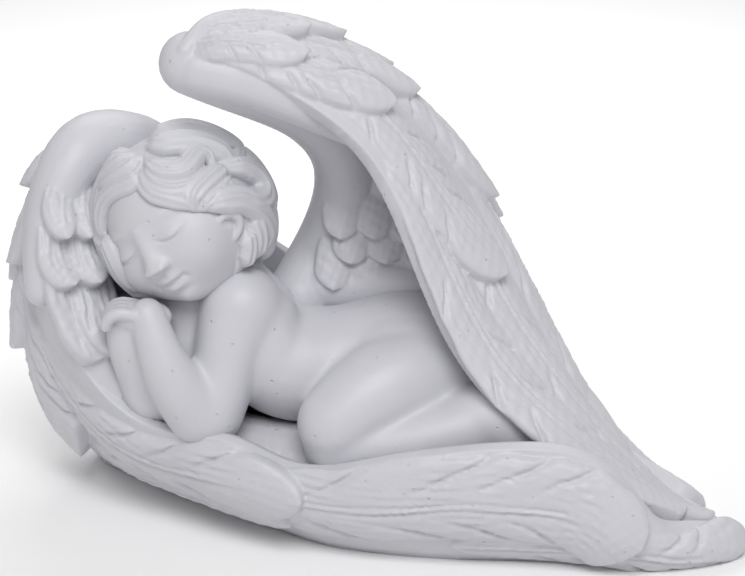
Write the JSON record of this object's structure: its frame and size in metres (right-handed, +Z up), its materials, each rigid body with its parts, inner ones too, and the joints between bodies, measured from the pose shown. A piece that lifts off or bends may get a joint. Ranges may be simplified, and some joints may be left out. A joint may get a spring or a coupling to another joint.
{
  "type": "angel figurine",
  "caption": "Sleeping cherub cradled in its own wings, a one-piece white cast resin ornament that rests on a flat underside.",
  "frame": {"origin": "on the flat underside, below the middle of the ornament", "axes": "+Z up, -Y out of the open front, -X to the head end, +X to the tip of the tail feathers"},
  "size_m": [0.1999, 0.1093, 0.1393],
  "materials": {
    "resin": "satin white cast resin"
  },
  "bodies": {
    "root": {"angel_figurine": "resin"}
  },
  "joints": []
}
